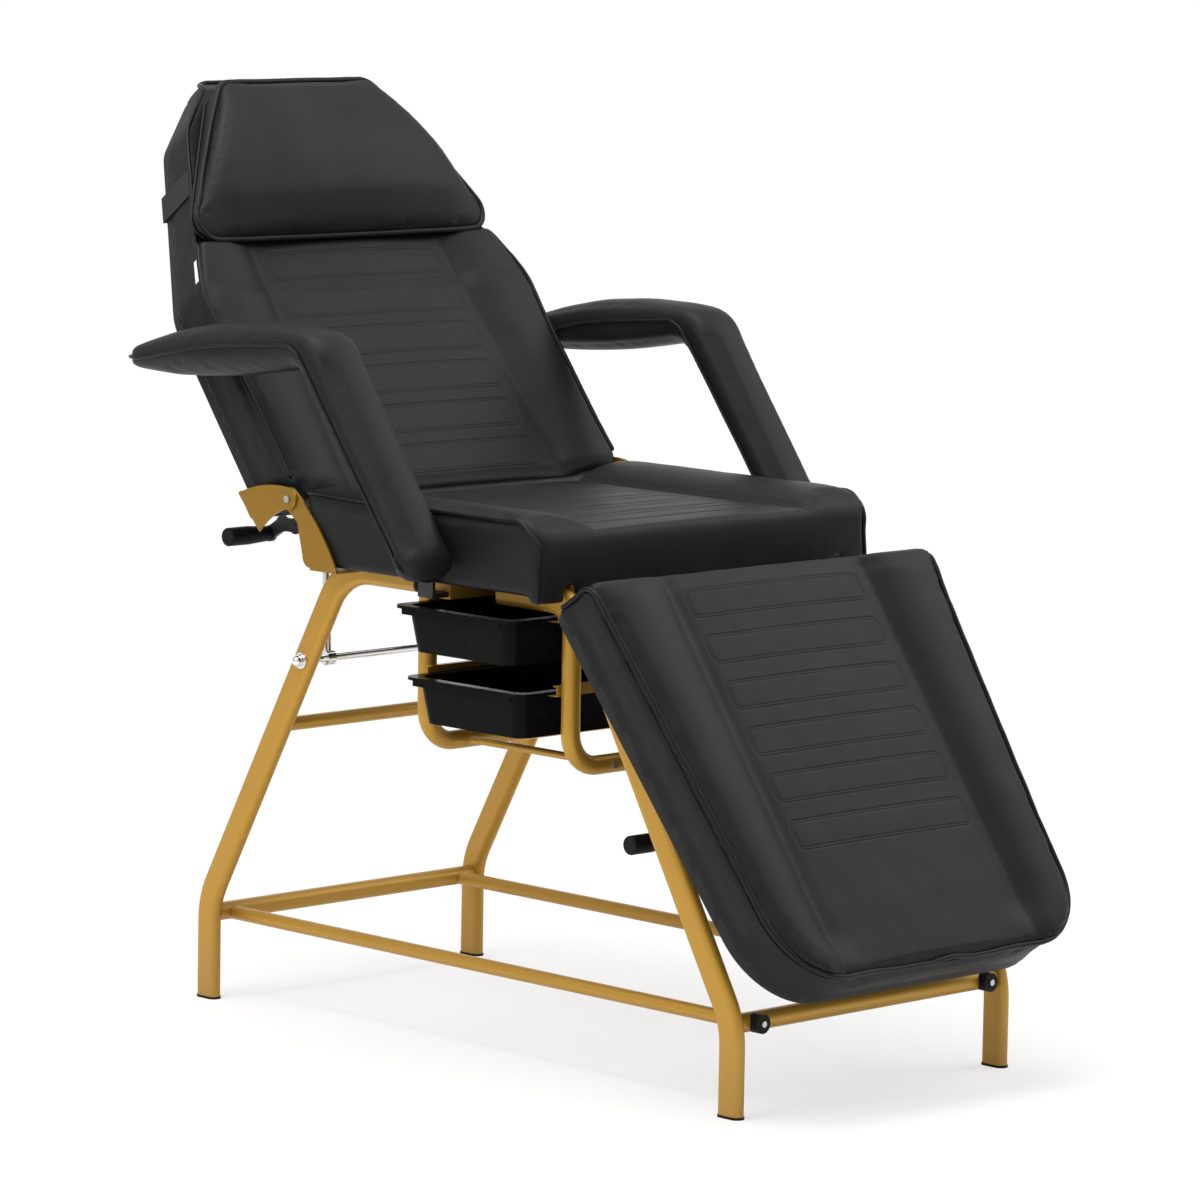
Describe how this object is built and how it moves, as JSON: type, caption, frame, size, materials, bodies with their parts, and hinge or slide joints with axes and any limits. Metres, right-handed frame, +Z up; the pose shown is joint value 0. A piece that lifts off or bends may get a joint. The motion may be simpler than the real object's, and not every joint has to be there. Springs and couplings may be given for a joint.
{
  "type": "reclining beauty treatment chair",
  "caption": "Padded treatment chair on a splayed tube frame, with a reclining back, lifting leg rest, head pillow, plug-in armrests and sliding trays.",
  "frame": {"origin": "centre of the bounding box at floor level, under the middle of the chair", "axes": "+Z up, +Y from the foot end to the head end, +X to the chair's right as seen from the foot end"},
  "size_m": [0.784, 1.374, 1.2456],
  "materials": {
    "gold_frame": "satin gold powder coat",
    "black_vinyl": "soft matt synthetic leather with a fine grain",
    "board": "plywood covered in dark cloth",
    "black_plastic": "moulded, fine texture",
    "tray_plastic": "glossy black",
    "chrome": "polished",
    "zinc": "zinc plated",
    "black_steel": "satin black",
    "elastic": "woven elastic",
    "tag_cloth": "white satin ribbon"
  },
  "bodies": {
    "frame": {"leg_front_left": "gold_frame", "leg_front_right": "gold_frame", "leg_rear_left": "gold_frame", "leg_rear_right": "gold_frame", "foot_caps": "black_plastic", "stub_end_caps": "black_plastic", "cross_tube_front": "gold_frame", "cross_tube_rear": "gold_frame", "cross_tube_middle": "gold_frame", "side_rail_left": "gold_frame", "side_rail_right": "gold_frame", "rail_knobs": "black_plastic", "rail_bolts": "zinc", "strut_bar": "chrome", "strut_bar_nuts": "chrome", "tray_hoop_front": "gold_frame", "tray_hoop_rear": "gold_frame", "upper_runner_front": "gold_frame", "upper_runner_rear": "gold_frame", "lower_runner_front": "gold_frame", "lower_runner_rear": "gold_frame", "tie_bars": "gold_frame", "tie_bar_screws": "zinc", "seat_board": "board", "seat_cushion": "black_vinyl", "seat_plate_left": "gold_frame", "seat_plate_right": "gold_frame", "pivot_bolts": "zinc", "fixed_leaves": "gold_frame", "leg_pins": "zinc", "leg_lock_bracket": "gold_frame", "arm_socket_left": "gold_frame", "arm_socket_right": "gold_frame"},
    "backrest": {"back_board": "board", "back_cushion": "black_vinyl", "back_plate_left": "gold_frame", "back_plate_right": "gold_frame", "back_lock_bracket": "black_steel", "care_tag": "tag_cloth"},
    "headrest_pillow": {"pillow": "black_vinyl", "pillow_strap": "elastic"},
    "leg_rest": {"leg_cushion": "black_vinyl", "leg_board": "board", "moving_leaves": "gold_frame", "leg_rod_bracket": "black_steel"},
    "back_rod": {"back_rod": "chrome"},
    "back_collar": {"back_collar": "black_steel"},
    "back_lever": {"back_lever": "black_steel", "back_grip": "black_plastic"},
    "leg_rod": {"leg_rod": "chrome"},
    "leg_collar": {"leg_collar": "black_steel"},
    "leg_lever": {"leg_lever": "black_steel", "leg_grip": "black_plastic"},
    "upper_tray": {"upper_tray": "tray_plastic"},
    "lower_tray": {"lower_tray": "tray_plastic"},
    "arm_left": {"arm_pad_left": "black_vinyl", "arm_bracket_left": "black_steel"},
    "arm_right": {"arm_pad_right": "black_vinyl", "arm_bracket_right": "black_steel"}
  },
  "joints": [
    {"name": "back_recline", "type": "hinge", "parent": "frame", "child": "backrest", "pos_m": [0, 0.22194, 0.712], "axis": [1, 0, 0], "range_deg": [-52.4, 12]},
    {"name": "leg_lift", "type": "hinge", "parent": "frame", "child": "leg_rest", "pos_m": [0, -0.25706, 0.612], "axis": [-1, 0, 0], "range_deg": [0, 54.5]},
    {"name": "upper_tray_slide", "type": "slide", "parent": "frame", "child": "upper_tray", "axis": [-1, 0, 0], "range_m": [-0.08, 0.12]},
    {"name": "lower_tray_slide", "type": "slide", "parent": "frame", "child": "lower_tray", "axis": [-1, 0, 0], "range_m": [-0.06, 0.14]},
    {"name": "arm_left_slide", "type": "slide", "parent": "frame", "child": "arm_left", "axis": [-1, 0, 0], "range_m": [0, 0.1]},
    {"name": "arm_right_slide", "type": "slide", "parent": "frame", "child": "arm_right", "axis": [1, 0, 0], "range_m": [0, 0.1]},
    {"name": "pillow_slide", "type": "slide", "parent": "backrest", "child": "headrest_pillow", "axis": [0, 0.6101, 0.7923], "range_m": [0, 0.06]},
    {"name": "back_rod_swing", "type": "hinge", "parent": "frame", "child": "back_rod", "pos_m": [0, 0.25484, 0.488], "axis": [1, 0, 0], "range_deg": [-4, 15.8]},
    {"name": "back_collar_turn", "type": "hinge", "parent": "backrest", "child": "back_collar", "pos_m": [0, 0.26444, 0.6705], "axis": [1, 0, 0], "range_deg": [-16, 68.2]},
    {"name": "back_lever_squeeze", "type": "hinge", "parent": "backrest", "child": "back_lever", "pos_m": [0, 0.29894, 0.6628], "axis": [1, 0, 0], "range_deg": [0, 12], "stiffness_Nm_per_rad": 2, "springref_deg": -28.65},
    {"name": "leg_rod_swing", "type": "hinge", "parent": "leg_rest", "child": "leg_rod", "pos_m": [0, -0.27806, 0.572], "axis": [-1, 0, 0], "range_deg": [-62.25, 0.5]},
    {"name": "leg_collar_turn", "type": "hinge", "parent": "frame", "child": "leg_collar", "pos_m": [0, -0.27206, 0.4], "axis": [-1, 0, 0], "range_deg": [-7.75, 0.5]},
    {"name": "leg_lever_squeeze", "type": "hinge", "parent": "frame", "child": "leg_lever", "pos_m": [0, -0.27606, 0.378], "axis": [-1, 0, 0], "range_deg": [0, 12], "stiffness_Nm_per_rad": 2, "springref_deg": -28.65}
  ],
  "couplings": [
    {"joint": "back_rod_swing", "follows": "back_recline", "ratio": -0.292},
    {"joint": "back_collar_turn", "follows": "back_recline", "ratio": -1.292},
    {"joint": "leg_rod_swing", "follows": "leg_lift", "ratio": -1.133},
    {"joint": "leg_collar_turn", "follows": "leg_lift", "ratio": -0.133}
  ]
}
